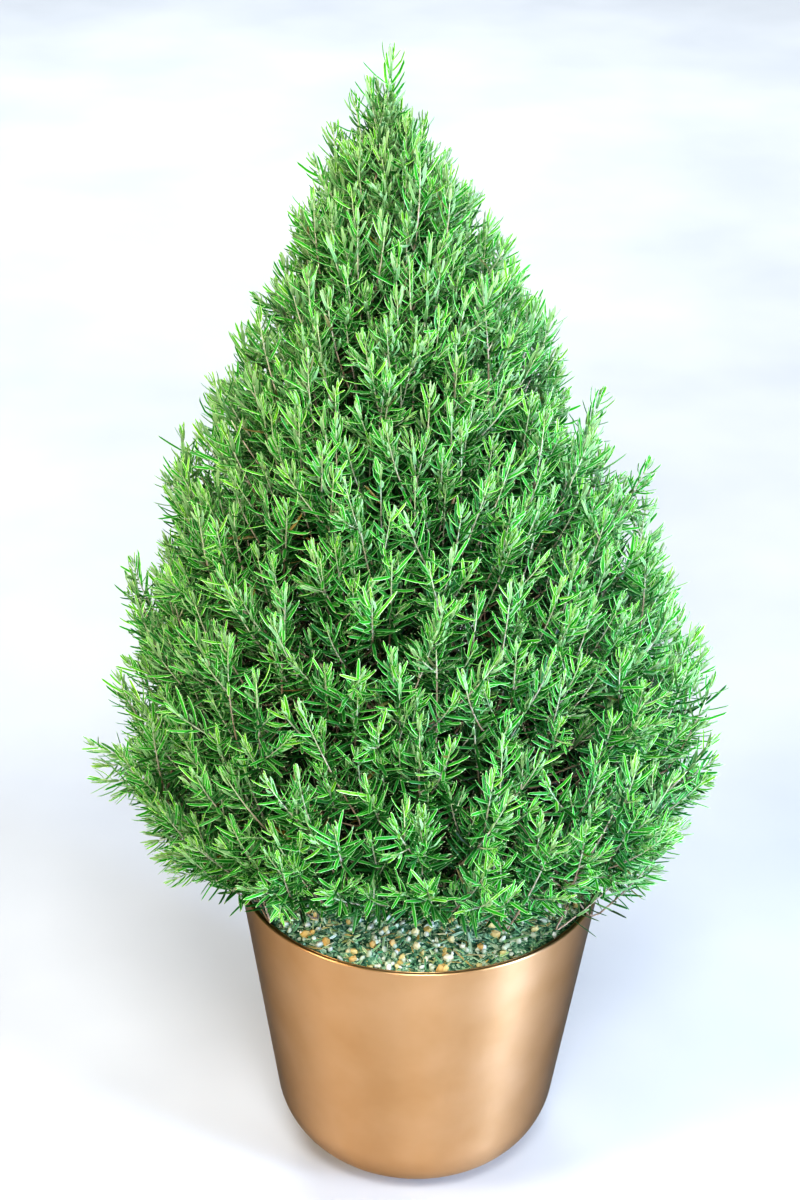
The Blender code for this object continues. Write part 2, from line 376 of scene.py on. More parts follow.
def makeSoil():
    edge = wallRadius(rimHeight - soil["drop"], pot["wall"]) - soil["gap"]
    radii = np.linspace(0, edge, soil["rings"] + 1)[1:]
    turn = np.linspace(0, 2 * math.pi, soil["steps"], endpoint=False)
    x = (radii[:, None] * np.cos(turn)).ravel()
    y = (radii[:, None] * np.sin(turn)).ravel()
    top = np.stack((x, y, soilHeight(x, y)), axis=1)
    foot = pot["footRound"]
    walls = arcPoints((wallRadius(foot, foot), foot), foot - pot["wall"] - soil["gap"],
                      -pot["wallAngle"], -math.pi / 2, soil["footSteps"])
    rims = [np.stack((r * np.cos(turn), r * np.sin(turn), np.full(soil["steps"], z)), axis=1)
            for r, z in walls[:-1]]
    centre = soilHeight(np.zeros(1), np.zeros(1))[0]
    piece = ringPiece("soil_bed", np.vstack([top] + rims), soil["steps"],
                      [(0, 0, centre), (0, 0, walls[-1][1])], pottingMix(), inward=True)
    attach(piece, "potting_mix", "soil")


def soilSpots(rng, count):
    inner, outer = soil["spread"]
    away = np.sqrt(rng.uniform((inner / outer) ** 2, 1, count)) * outer
    turn = rng.uniform(0, 2 * math.pi, count)
    x, y = away * np.cos(turn), away * np.sin(turn)
    return np.stack((x, y, soilHeight(x, y)), axis=1)


def ballTemplate(level):
    bm = bmesh.new()
    bmesh.ops.create_icosphere(bm, subdivisions=level, radius=1.0)
    points = np.array([v.co for v in bm.verts])
    faces = np.array([[v.index for v in f.verts] for f in bm.faces])
    bm.free()
    return points, faces


def cellMap(cells, along, across, side=8):
    # each tone has its own square cell of the map; along and across place a corner inside it
    inset = 0.08
    u = (cells % side + inset + (1 - 2 * inset) * along) / side
    v = (cells // side + inset + (1 - 2 * inset) * across) / side
    return np.stack((u, v), axis=-1)


def grains(name, count, level, lift, sizeRange, rough, squash, material, rng):
    # lumpy grains, each turned at random; those with few faces stay faceted
    ball, faces = ballTemplate(level)
    spots = soilSpots(rng, count) + np.array([0, 0, lift])
    sizes = rng.uniform(*sizeRange, count) * mm
    lumps = 1 + rough * rng.uniform(-1, 1, (count, len(ball)))
    shape = np.stack((rng.uniform(0.8, 1.3, count), rng.uniform(0.7, 1.0, count),
                      rng.uniform(squash, 1.0, count)), axis=1)
    local = ball[None] * lumps[..., None] * shape[:, None] * sizes[:, None, None] / 2
    turns = unit(rng.normal(size=(count, 4)))
    w, x, y, z = turns.T
    spin = np.stack((
        1 - 2 * (y * y + z * z), 2 * (x * y - z * w), 2 * (x * z + y * w),
        2 * (x * y + z * w), 1 - 2 * (x * x + z * z), 2 * (y * z - x * w),
        2 * (x * z - y * w), 2 * (y * z + x * w), 1 - 2 * (x * x + y * y)), axis=1).reshape(-1, 3, 3)
    placed = np.einsum("nij,nkj->nki", spin, local) + spots[:, None]
    allFaces = (faces[None] + (np.arange(count) * len(ball))[:, None, None]).reshape(-1, 3)
    piece = meshPiece(name, placed.reshape(-1, 3), [allFaces], material)
    tone = rng.integers(0, 64, count)
    paint(piece.data, "grainTone", "FACE", np.repeat(
        np.stack((tone % 8 / 7, tone // 8 / 7, tone * 0), axis=1), len(faces), axis=0))
    corner = np.tile(np.array([[0, 0], [1, 0], [0.5, 1]]), (len(allFaces), 1))
    layMap(piece.data, cellMap(np.repeat(tone, len(faces) * 3), corner[:, 0], corner[:, 1]))
    if level == 1:
        piece.data.shade_flat()
    attach(piece, "potting_mix")


def grainMaterial(name, stops, shade, roughness):
    material, tree, shader = newMaterial(name)
    tone = addNode(tree, "Attribute", {"attribute_name": "grainTone"})["Vector"]
    parts = addNode(tree, "SeparateXYZ", {"Vector": tone})
    colour = addNode(tree, "ValToRGB", {"Fac": parts["X"], "stops": stops})["Color"]
    darker = addNode(tree, "ValToRGB", {"Fac": parts["Y"], "stops": [(0.0, shade), (1.0, "#ffffff")]})
    both = addNode(tree, "Mix", {
        "data_type": "RGBA", "blend_type": "MULTIPLY", 0: 1.0, 6: colour, 7: darker["Color"]})
    setNode(tree, shader, {"Base Color": both[2], "Roughness": roughness})
    return material


makeSoil()
dice = np.random.default_rng(soil["seed"])
# expanded perlite: chalky white, matt glass foam
perlite = grainMaterial("expandedPerlite", [(0.0, "#e6eed8"), (0.5, "#f8faea"), (1.0, "#ffffff")],
                        "#d0d8c8", 0.9)
# pumice and bark chips: dusty cream to straw yellow, dry and matt
pumice = grainMaterial("pumiceAndBark", [(0.0, "#ecc88c"), (0.35, "#f5e3a6"), (0.7, "#fbf3c6"),
                                         (1.0, "#fffbe8")], "#e8dfc4", 0.85)
# composted fines: broken crumbs of peat, leaf and grit, grey-green with pale dust
fines = grainMaterial("compostFines", [(0.0, "#6ea085"), (0.35, "#a8d0b0"), (0.7, "#dcf0d4"),
                                       (1.0, "#ffffff")], "#c4d8c6", 0.9)
grains("perlite_grains", soil["perlite"], 2, 1.6 * mm, (2.4, 5.2), 0.16, 0.6, perlite, dice)
grains("pumice_chips", soil["pumice"], 1, 2.4 * mm, (4.5, 8.0), 0.22, 0.55, pumice, dice)
grains("compost_fines", soil["fines"], 1, 0.0, (1.4, 3.2), 0.3, 0.4, fines, dice)
print("soil laid")


leaf = {
    "rings": np.array([0.0, 0.15, 0.48, 0.84, 1.0]),      # places along the blade
    "widths": np.array([0.45, 0.92, 1.0, 0.80, 0.22]),    # share of full width at each ring
    "droop": 0.13, "crown": 0.15,                         # margins below and ridge above, of the width
}


def leafFaces():
    # each ring has a left margin, a ridge and a right margin
    last = len(leaf["rings"]) * 3 - 3
    return ringFaces(len(leaf["rings"]), 3), np.array([(2, 1, 0), (last, last + 1, last + 2)])


def leafCorners():
    # along, across and underside for each face corner of one leaf, and its place in a tone cell
    looks, places = [], []
    girth = [(0.0, 0.3), (0.3, 0.6), (1.0, 0.64)]
    across = [(-1.0, 0.0), (0.0, 1.0), (1.0, -1.0)]
    for ring in range(len(leaf["rings"]) - 1):
        low, high = leaf["rings"][ring], leaf["rings"][ring + 1]
        for side in range(3):
            for place, column in ((low, 0), (low, 1), (high, 1), (high, 0)):
                looks.append((place, across[side][column], float(side == 2)))
                places.append((place, girth[side][column]))
    quadLooks, quadPlaces = np.array(looks), np.array(places)
    capLooks = np.array([(0.0, 0.0, 0.0)] * 3 + [(1.0, 0.0, 0.0)] * 3)
    capPlaces = np.array([(0.0, 0.28), (0.03, 0.30), (0.0, 0.32),
                          (0.97, 0.28), (1.0, 0.30), (0.97, 0.32)])
    return quadLooks, quadPlaces, capLooks, capPlaces


def makeLeaves(name, leaves, material, slotName, *nodes):
    # each leaf has a base, heading and upper-face direction; its bend turns the tip to its face
    heading, face, tone = leaves["heading"], leaves["face"], leaves["tone"]
    length = leaves["length"][:, None, None]
    count = len(tone)
    place = leaf["rings"][None, :, None]
    curl = leaves["bend"][:, None, None]
    run = place - curl ** 2 * place ** 3 / 6
    rise = curl * place ** 2 / 2 - curl ** 3 * place ** 4 / 24
    middle = leaves["base"][:, None] + length * (heading[:, None] * run + face[:, None] * rise)
    turn = curl * place
    up = face[:, None] * np.cos(turn) - heading[:, None] * np.sin(turn)
    side = np.cross(heading, face)[:, None]
    wide = (leaves["width"][:, None] * leaf["widths"][None])[..., None]
    points = np.stack((
        middle - side * wide / 2 - up * wide * leaf["droop"],
        middle + up * wide * leaf["crown"],
        middle + side * wide / 2 - up * wide * leaf["droop"]), axis=2)
    quads, caps = leafFaces()
    shift = (np.arange(count) * len(leaf["rings"]) * 3)[:, None, None]
    piece = meshPiece(name, points.reshape(-1, 3), [
        (quads[None] + shift).reshape(-1, 4), (caps[None] + shift).reshape(-1, 3)], material)
    mesh = piece.data
    quadLooks, quadPlaces, capLooks, capPlaces = leafCorners()
    looks = np.vstack((np.tile(quadLooks, (count, 1)), np.tile(capLooks, (count, 1))))
    paint(mesh, "leafLook", "CORNER", looks)
    tones = np.stack((tone % 8 / 7, tone // 8 / 7, tone * 0.0), axis=1)
    paint(mesh, "leafTone", "FACE", np.vstack((np.repeat(tones, len(quads), axis=0),
                                               np.repeat(tones, len(caps), axis=0))))
    spread = np.vstack((np.tile(quadPlaces, (count, 1)), np.tile(capPlaces, (count, 1))))
    cells = np.concatenate((np.repeat(tone, len(quadPlaces)), np.repeat(tone, len(capPlaces))))
    layMap(mesh, cellMap(cells, spread[:, 0], spread[:, 1]))
    # the margins are crisp, the ridge is rounded
    edges = np.empty(len(mesh.edges) * 2, dtype=np.int32)
    mesh.edges.foreach_get("vertices", edges)
    column = edges.reshape(-1, 2) % 3
    sharp = mesh.attributes.new("sharp_edge", "BOOLEAN", "EDGE")
    sharp.data.foreach_set("value", (column[:, 0] == column[:, 1]) & (column[:, 0] != 1))
    attach(piece, slotName, *nodes)


def leafMaterial(name, ages, warmth, grooveShadeColour, marginAndHighlightColour, underColour, roughness):
    material, tree, shader = newMaterial(name)
    look = addNode(tree, "Attribute", {"attribute_name": "leafLook"})["Vector"]
    tone = addNode(tree, "Attribute", {"attribute_name": "leafTone"})["Vector"]
    spot = addNode(tree, "SeparateXYZ", {"Vector": look})
    kind = addNode(tree, "SeparateXYZ", {"Vector": tone})
    along, across, under, age = spot["X"], spot["Y"], spot["Z"], kind["Y"]
    out = addNode(tree, "Math", {"operation": "ABSOLUTE", 0: across})["Value"]
    # the age ramp's darkest greens are painted shade for leaves deep inside the crown
    ageColour = addNode(tree, "ValToRGB", {"Fac": age, "stops": ages})["Color"]
    # the warmth tint carries random tone together with painted warm light on the crown's left side
    tint = addNode(tree, "ValToRGB", {"Fac": kind["X"], "stops": warmth})["Color"]
    colour = addNode(tree, "Mix", {
        "data_type": "RGBA", "blend_type": "MULTIPLY", 0: 1.0, 6: ageColour, 7: tint})[2]
    # faint streaks along the blade, then the groove darkened as painted shade, the pale rolled margins
    # lit further as a painted highlight, the tip and the stalk
    blade = addNode(tree, "VectorMath", {"operation": "MULTIPLY", 0: look, 1: (5, 2.2, 1)})["Vector"]
    streak = addNode(tree, "TexNoise", {"Vector": blade, "Scale": 1.7, "Detail": 3.0})["Fac"]
    colour = layOver(tree, colour, "#a5dc6c", streak, 0.4, 0.75, 0.16)
    colour = layOver(tree, colour, grooveShadeColour, out, 0.22, 0.04, 0.55)
    young = addNode(tree, "MapRange", {
        "interpolation_type": "SMOOTHSTEP", "Value": age, "From Min": 0.80, "From Max": 0.10,
        "To Max": 0.85})["Result"]
    colour = layOver(tree, colour, marginAndHighlightColour, out, 0.64, 0.92, young)
    colour = layOver(tree, colour, "#eaf2c0", along, 0.90, 1.0, 0.7)
    colour = layOver(tree, colour, "#c9d8b4", along, 0.12, 0.0, 0.3)
    # the felted underside darkens with age and with the painted shade deep in the crown, as the blade
    # does
    felt = layOver(tree, underColour, "#7f9a5e", out, 0.3, 0.05, 0.5)
    felt = layOver(tree, felt, colour, age, 0.1, 0.8, 0.85)
    colour = addNode(tree, "Mix", {"data_type": "RGBA", 0: under, 6: colour, 7: felt})[2]
    gloss = addNode(tree, "MapRange", {"Value": under, "To Min": roughness, "To Max": 0.85})
    groove = addNode(tree, "MapRange", {
        "interpolation_type": "SMOOTHSTEP", "Value": out, "From Min": 0.0, "From Max": 0.3})
    relief = addNode(tree, "Bump", {
        "Height": groove["Result"], "Distance": 0.18 * mm, "Strength": 0.7})
    setNode(tree, shader, {
        "Base Color": colour, "Specular IOR Level": 0.3, "Roughness": gloss["Result"],
        "Normal": relief["Normal"]})
    return material


# live rosemary leaf: leathery, waxed green above with a pressed midrib and pale rolled
# margins, grey-green felt below; the age runs from fresh tips to old, then dead, and its darkest tones
# are painted shade for leaves deep inside the crown
rosemaryLeaf = leafMaterial(
    "rosemaryLeafWax",
    [(0.0, "#86d83a"), (0.28, "#3cb42e"), (0.56, "#0f742a"), (0.85, "#012616"), (1.0, "#8a7450")],
    [(0.0, "#8cf0c4"), (0.5, "#ffffff"), (1.0, "#fff08c")], "#0b3a20", "#f4fbdc", "#a8c890", 0.34)
# fallen leaves and bits on the soil: dulled green to grey, straw and brown; their grooves are darkened
# as painted shade and their margins paled as a painted highlight
leafLitter = leafMaterial(
    "fallenLeafLitter",
    [(0.0, "#dcf6d4"), (0.3, "#b0e0b0"), (0.6, "#7fbc94"), (0.8, "#ffffee"), (1.0, "#e0c690")],
    [(0.0, "#c9ece2"), (0.5, "#ffffff"), (1.0, "#fff2cc")], "#5c9474", "#fbfff2", "#f2f8e6", 0.7)


def scatterLitter():
    rng = np.random.default_rng(soil["seed"] + 1)
    count = soil["litter"]
    base = soilSpots(rng, count) + np.array([0, 0, 0.4 * mm])
    turn = rng.uniform(0, 2 * math.pi, count)
    tip = rng.normal(0.0, 0.22, count)
    heading = unit(np.stack((np.cos(turn), np.sin(turn), tip), axis=1))
    lean = rng.normal(0, 0.5, (count, 3)) + np.array([0, 0, 1.0])
    face = unit(lean - heading * np.sum(lean * heading, axis=1, keepdims=True))
    length = rng.uniform(3.0, 9.0, count) * mm
    whole = rng.random(count) < 0.12
    length[whole] = rng.uniform(12, 20, whole.sum()) * mm
    # a leaf that would reach the pot's wall is cut short
    away = np.hypot(base[:, 0] + heading[:, 0] * length, base[:, 1] + heading[:, 1] * length)
    length = np.where(away > soil["spread"][1] + 2.5 * mm, np.minimum(length, 3 * mm), length)
    makeLeaves("leaf_litter", {
        "base": base, "heading": heading, "face": face, "length": length,
        "width": rng.uniform(1.2, 2.4, count) * mm, "bend": rng.normal(0, 0.5, count),
        "tone": rng.integers(0, 64, count)}, leafLitter, "potting_mix")


scatterLitter()
print("litter laid")


crown = {
    "seed": 7, "shoots": 1700, "innerShoots": 680, "tufts": 0.75,      # tufts for each shoot
    "top": 0.562, "lean": -0.052,                                      # height over the rim, slant
    "outline": [   # height over the rim, radius
        (0.0, 0.150), (0.03, 0.170), (0.07, 0.193), (0.13, 0.204), (0.20, 0.194), (0.29, 0.160),
        (0.36, 0.120), (0.43, 0.084), (0.50, 0.052), (0.538, 0.030), (0.562, 0.003)],
    "skirtShare": 0.16, "skirtInner": 70 * mm, "skirtFoot": 12 * mm,   # the crown's underside
    "skirtLow": 28 * mm, "skirtFront": 94 * mm,                        # its edge's height, in front
    "sight": 0.69, "frontSoil": 60 * mm,                               # slope and start of the open soil
    "groove": 11 * mm, "grooveSize": 45 * mm,                          # hollows between the shoots
    "setBack": (6 * mm, 30 * mm), "setBackShare": 0.4, "stray": 6.5 * mm, "riseStray": 8 * mm,
    "innerDepth": (30 * mm, 75 * mm), "innerDrop": 12 * mm, "footMargin": 12 * mm,
    "leans": [   # height over the rim, lean in degrees
        (0.0, 98), (0.04, 76), (0.08, 46), (0.14, 27), (0.25, 19), (0.40, 13), (0.60, 3)],
    "leanStray": 9, "baseLean": (8, 28), "swing": 0.42,
    "shootLength": (58 * mm, 100 * mm), "tuftLength": (14 * mm, 32 * mm), "tuftSpread": (28, 52),
    "nodeGap": 3.8 * mm, "mostNodes": 32, "bareFoot": 0.35,            # share of lost oldest leaves
    "leafLength": (14.0 * mm, 22.5 * mm), "leafWidth": (1.75 * mm, 2.35 * mm),
}
# loose sprigs that stand out of the shape: tip x, y, height over the rim, lean in degrees
looseSprigs = [
    (-0.230, -0.030, 0.118, 58), (-0.222, -0.045, 0.098, 74), (-0.226, -0.012, 0.090, 88),
    (-0.182, -0.030, 0.024, 100), (-0.174, -0.048, 0.018, 104), (0.156, -0.050, 0.020, 102),
    (-0.0285, -0.004, 0.598, 3), (-0.042, -0.006, 0.582, 6), (-0.051, 0.0, 0.568, 10),
    (-0.014, -0.004, 0.543, 6), (-0.054, -0.006, 0.538, 14), (-0.076, -0.004, 0.530, 22),
    (0.006, -0.004, 0.523, 16), (0.023, -0.006, 0.509, 22), (-0.088, -0.006, 0.497, 28),
    (0.036, -0.004, 0.490, 24), (0.046, -0.006, 0.478, 24),
]
golden = math.pi * (3 - math.sqrt(5))
upward = np.array([0, 0, 1.0])
slant = np.array([0.31, 0.22, 0.92])    # a direction that no shoot follows exactly


def smooth(value, start, end):
    # 0 at start, rising smoothly to 1 at end
    share = np.clip((value - start) / (end - start), 0, 1)
    return share * share * (3 - 2 * share)


def crownRadius(height):
    return np.interp(height, *zip(*crown["outline"]))


def grooveDepth(turn, height):
    # upright hollows between the shoots' columns, 0 on a column and 1 in a hollow
    around = np.stack((np.cos(turn) * 0.17, np.sin(turn) * 0.17 + height * 0.35), axis=1)
    return smooth(smoothNoise(around, crown["grooveSize"], 12), 0.0, 0.9)


def envelope(share, turn):
    # a point on the crown's skin: share 0 at the inner edge of the underside, 1 at the top
    frontness = smooth(-np.sin(turn), 0.05, 0.75)
    edge = crown["skirtLow"] + (crown["skirtFront"] - crown["skirtLow"]) * frontness
    foot, inner, knee = crown["skirtFoot"], crown["skirtInner"], crown["skirtShare"]
    under = np.clip(share / knee, 0, 1)
    side = np.clip((share - knee) / (1 - knee), 0, 1)
    height = np.where(share < knee, foot + (edge - foot) * under,
                      edge + (crown["top"] - edge) * (1 - (1 - side) ** 1.55))
    radius = np.where(share < knee, inner + (crownRadius(edge) - inner) * under,
                      crownRadius(height))
    return radius, height


def scatterTips(rng, count):
    # a sunflower's spiral over the skin, closer together towards the skirt
    order = (np.arange(count) + 0.5) / count
    turn = np.arange(count) * golden + rng.normal(0, 0.05, count)
    share = 1 - np.sqrt(1 - order * 0.995)
    radius, height = envelope(np.clip(share / share.max(), 0, 1), turn)
    return turn, radius, height


def placeTips(rng):
    # outer tips stand a little out of the skin or behind it, inner ones fill the crown
    turn, radius, height = [np.concatenate(pair) for pair in zip(
        scatterTips(rng, crown["shoots"]), scatterTips(rng, crown["innerShoots"]))]
    count = len(turn)
    inner = np.arange(count) >= crown["shoots"]
    isBack = rng.random(count) < crown["setBackShare"]
    recess = np.where(isBack, rng.uniform(*crown["setBack"], count),
                      rng.normal(0, crown["stray"], count))
    recess += crown["groove"] * grooveDepth(turn, height) * np.clip(radius / 0.1, 0.3, 1)
    recess[inner] = rng.uniform(*crown["innerDepth"], inner.sum())
    radius = np.maximum(radius - recess, 0.002)
    height = height + rng.normal(0, crown["riseStray"], count)
    height = height - np.where(inner, crown["innerDrop"], 0)
    outward = np.stack((np.cos(turn), np.sin(turn), np.zeros(count)), axis=1)
    tip = outward * radius[:, None]
    tip[:, 0] += crown["lean"] * height
    tip[:, 2] = rimHeight + height
    openSoil = crown["sight"] * (-tip[:, 1] - crown["frontSoil"]) + 0.010
    keep = height > np.maximum(openSoil, 0.012)
    print("shoots kept", keep.sum(), "of", count)
    return tip[keep], outward[keep], height[keep], recess[keep]


def addLooseSprigs(tip, outward, height, recess):
    loose = np.array(looseSprigs)
    tip = np.vstack((tip, loose[:, :3] + np.array([0, 0, rimHeight])))
    flat = loose[:, :2] - np.stack((crown["lean"] * loose[:, 2], loose[:, 2] * 0), axis=1)
    outward = np.vstack((outward, np.hstack((unit(flat), np.zeros((len(loose), 1))))))
    height = np.concatenate((height, loose[:, 2]))
    return tip, outward, height, np.concatenate((recess, np.zeros(len(loose))))


def aimShoots(rng, tip, outward, height, recess):
    # the lower a shoot, the more it leans out, and its foot leans more than its tip
    count = len(tip)
    loose = slice(count - len(looseSprigs), None)
    lean = np.interp(height, *zip(*crown["leans"])) + rng.normal(0, crown["leanStray"], count)
    lean[loose] = [sprig[3] for sprig in looseSprigs]
    lean = np.radians(lean)
    swing = rng.normal(0, crown["swing"], count)
    swing[loose] *= 0.3
    sideways = np.stack((-outward[:, 1], outward[:, 0], np.zeros(count)), axis=1)
    bearing = outward * np.cos(swing)[:, None] + sideways * np.sin(swing)[:, None]
    baseLean = np.radians(rng.uniform(*crown["baseLean"], count))
    baseLean = lean + baseLean * np.where(height < 0.05, 0.2, 1.0)
    length = rng.uniform(*crown["shootLength"], count)
    # a shoot near the rim is short enough for its foot to stay over the soil
    rises = np.cos(lean) > 0.25
    longest = np.maximum(0.026, (height + 0.006) / np.cos(lean))
    length[rises] = np.minimum(length, longest)[rises]
    return {
        "tip": tip,
        "tipAim": bearing * np.sin(lean)[:, None] + upward * np.cos(lean)[:, None],
        "baseAim": bearing * np.sin(baseLean)[:, None] + upward * np.cos(baseLean)[:, None],
        "length": length, "vigour": rng.uniform(0.85, 1.12, count), "recess": recess}


def pick(table, which):
    return {name: values[which] for name, values in table.items()}


def shootPoint(batch, back):
    # a gently bowed shoot: its place and direction at a distance back from the tip
    share = (back / batch["length"])[:, None]
    bow = batch["baseAim"] - batch["tipAim"]
    place = batch["tip"] - batch["tipAim"] * back[:, None] - bow * share * back[:, None] / 2
    return place, unit(batch["tipAim"] + bow * share)


def overSoil(place):
    # true where a leaf or a shoot's foot would hang in front of the open soil
    ahead = -place[:, 1]
    edge = 0.56 * (ahead - 0.064) - 0.05 * smooth(np.abs(place[:, 0] + 0.004), 0.115, 0.150)
    return (place[:, 2] - rimHeight < edge) & (ahead > 0.02)


def footInside(batch):
    # no shoot springs from the open soil in front or from outside the crown
    foot, _ = shootPoint(batch, batch["length"])
    rise = foot[:, 2] - rimHeight
    away = np.hypot(foot[:, 0] - crown["lean"] * rise, foot[:, 1])
    return ~overSoil(foot) & (away < crownRadius(rise) - crown["footMargin"])


def sideTufts(rng, parents):
    # short leafy side shoots that spring from the older part of a main shoot
    parentCount = len(parents["tip"])
    count = int(parentCount * crown["tufts"])
    parent = rng.integers(0, parentCount, count)
    back = rng.uniform(0.25, 0.95, count) * parents["length"][parent]
    place, axis = shootPoint(pick(parents, parent), back)
    across = rng.normal(size=(count, 3))
    across = unit(across - axis * np.sum(across * axis, axis=1, keepdims=True))
    spread = np.radians(rng.uniform(*crown["tuftSpread"], count))[:, None]
    away = unit(axis * np.cos(spread) + across * np.sin(spread))
    inward = unit(away + axis * 0.5)
    reach = rng.uniform(*crown["tuftLength"], count)
    end = place + away * reach[:, None] * 0.5 + inward * reach[:, None] * 0.5
    vigour = parents["vigour"][parent] * rng.uniform(0.62, 0.85, count)
    keep = ~overSoil(end + inward * 0.012) & (end[:, 2] > rimHeight - 0.002)
    return pick({"tip": end, "tipAim": inward, "baseAim": away, "length": reach,
                 "vigour": vigour, "parent": parent}, keep)


def shootLeaves(rng, batch):
    # pairs of leaves up each shoot, every pair a quarter turn from the last
    count = len(batch["tip"])
    step = np.arange(crown["mostNodes"])
    back = 1.0 * mm + crown["nodeGap"] * (0.5 * step + 0.5 * np.maximum(step - 2.0, 0))
    stretch = rng.uniform(0.9, 1.12, (count, 1)) * np.clip(batch["vigour"], 0.7, 1.1)[:, None]
    back = back[None] * stretch
    owner, order = np.nonzero(back < batch["length"][:, None] * 0.985)
    back = back[owner, order]
    # the oldest leaves have partly fallen
    fall = smooth(back / batch["length"][owner], 0.55, 1.0) * crown["bareFoot"]
    start = rng.uniform(0, 2 * math.pi, count)
    sets = []
    for twin in (0, 1):
        stay = rng.random(len(owner)) > fall
        who, at, distance = owner[stay], order[stay], back[stay]
        number = len(who)
        place, axis = shootPoint(pick(batch, who), distance)
        spin = start[who] + at * (math.pi / 2 + 0.10) + twin * math.pi + rng.normal(0, 0.16, number)
        helper = unit(np.cross(axis, slant))
        other = np.cross(axis, helper)
        out = helper * np.cos(spin)[:, None] + other * np.sin(spin)[:, None]
        # young leaves hug the tip, old ones spread
        angle = np.radians(20 + 27 * smooth(distance, 0, 0.011) + 22 * smooth(distance, 0.011, 0.045)
                           + rng.normal(0, 10, number))
        heading = unit(axis * np.cos(angle)[:, None] + out * np.sin(angle)[:, None])
        face = unit(axis * np.sin(angle)[:, None] - out * np.cos(angle)[:, None])
        roll = rng.normal(0, 0.28, number)[:, None]
        face = unit(face * np.cos(roll) + np.cross(heading, face) * np.sin(roll))
        grown = smooth(distance, 0.0, 0.014)
        vigour = batch["vigour"][who]
        sets.append({
            "base": place + out * 0.5 * mm, "heading": heading, "face": face,
            "length": vigour * rng.uniform(*crown["leafLength"], number) * (0.42 + 0.58 * grown),
            "width": (rng.uniform(*crown["leafWidth"], number) * (0.62 + 0.38 * grown)
                      * np.sqrt(vigour)),
            "bend": rng.normal(0.52, 0.28, number) - 0.45 * smooth(distance, 0.025, 0.08),
            "distance": distance, "owner": who})
    return {name: np.concatenate([part[name] for part in sets]) for name in sets[0]}


def leafTones(rng, place, distance, shootWarmth, depth):
    # eight warmths in each of eight ages; the last age is dead; shoots deep inside the crown are painted
    # older and darker, as painted shade
    # the left side of the crown is painted warmer and the right cooler, as painted light
    side = smooth(-place[:, 0], -0.15, 0.22)
    warmth = np.round(3.0 + 2.2 * side + shootWarmth + rng.normal(0, 1.1, len(place)))
    age = np.round(0.2 + 2.4 * smooth(distance, 0.004, 0.02) + 1.7 * smooth(distance, 0.02, 0.06)
                   + 1.6 * depth + rng.normal(0, 0.7, len(place)))
    dead = rng.random(len(place)) < 0.002 + 0.012 * smooth(distance, 0.03, 0.07)
    age = np.where(dead, 7, np.clip(age, 0, 6))
    return (np.clip(warmth, 0, 7) + 8 * age).astype(int)


# the leafy spray nodes, each with a spine: a bow through its inner end, its middle and its tip
sprays = [name for name in frame["nodes"] if "_spray_" in name or name == "crown_tip"]


def spraySpine(name):
    mesh = frame["nodes"][name].data
    points = np.empty(len(mesh.vertices) * 3, dtype=np.float32)
    mesh.vertices.foreach_get("co", points)
    points = points.reshape(-1, 3).astype(float)
    centre = points.mean(axis=0)
    axis = np.linalg.svd(points - centre, full_matrices=False)[2][0]
    if axis @ (centre - np.array([0, 0, rimHeight])) < 0:
        axis = -axis
    along = (points - centre) @ axis
    inner, outer = points[np.argmin(along)], points[np.argmax(along)]
    share = np.linspace(0, 1, 12)[:, None]
    handle = 2 * centre - (inner + outer) / 2
    return inner * (1 - share) ** 2 + handle * 2 * share * (1 - share) + outer * share ** 2


spines = {name: spraySpine(name) for name in sprays}


def nearestSpray(points):
    # index of the spray whose spine passes nearest to each point
    gaps = [np.linalg.norm(points[:, None] - spines[name][None], axis=2).min(axis=1)
            for name in sprays]
    return np.argmin(np.array(gaps), axis=0)


def growShoots(rng):
    main = aimShoots(rng, *addLooseSprigs(*placeTips(rng)))
    main = pick(main, footInside(main))
    tufts = sideTufts(rng, main)
    middle, _ = shootPoint(main, main["length"] * 0.55)
    main["home"] = nearestSpray(middle)
    main["warmth"] = rng.normal(0, 0.8, len(middle))
    recess = main.pop("recess")
    # how deep the shoot's tip sits inside the crown, used to paint shade on its leaves
    main["depth"] = smooth(recess, 0.004, 0.04) + 0.5 * smooth(recess, 0.03, 0.07)
    main["isTuft"] = np.zeros(len(middle), bool)
    parent = tufts.pop("parent")
    tufts["home"] = main["home"][parent]
    tufts["warmth"] = main["warmth"][parent]
    # side tufts grow inside the crown, so their leaves get more painted shade
    tufts["depth"] = 0.55 + 0.3 * main["depth"][parent]
    tufts["isTuft"] = np.ones(len(parent), bool)
    return {name: np.concatenate((main[name], tufts[name])) for name in main}


def setLeaves(rng):
    leaves = shootLeaves(rng, shoots)
    base, owner = leaves["base"], leaves["owner"]
    leaves["tone"] = leafTones(rng, base, leaves["distance"], shoots["warmth"][owner],
                               shoots["depth"][owner])
    ends = base + leaves["heading"] * leaves["length"][:, None]
    hangs = (ends[:, 2] < rimHeight - 0.012) & (np.hypot(ends[:, 0], ends[:, 1]) > 0.126)
    leaves = pick(leaves, ~overSoil(ends) & ~overSoil(base) & ~hangs)
    home = shoots["home"][leaves["owner"]]
    print("leaves:", len(home))
    for number, name in enumerate(sprays):
        label = name.replace("spray", "leaves").replace("crown_tip", "crown_leaves")
        makeLeaves(label, pick(leaves, home == number), rosemaryLeaf, "rosemary_foliage", name)


growth = np.random.default_rng(crown["seed"])
shoots = growShoots(growth)
setLeaves(growth)
print("leaves set")


stem = {
    "sides": 5, "shootRows": 9, "twigRows": 6, "tuftRows": 5, "limbRows": 12,
    "tipRadius": 0.36 * mm, "baseRadius": 0.72 * mm, "twigRadius": 0.9 * mm,
    "tuftRadius": (0.55 * mm, 0.32 * mm), "limbRadius": (1.9 * mm, 1.0 * mm),
    "fork": 30 * mm, "limbShare": 0.6,    # where twigs fork off, the woody part of a spray's spine
}


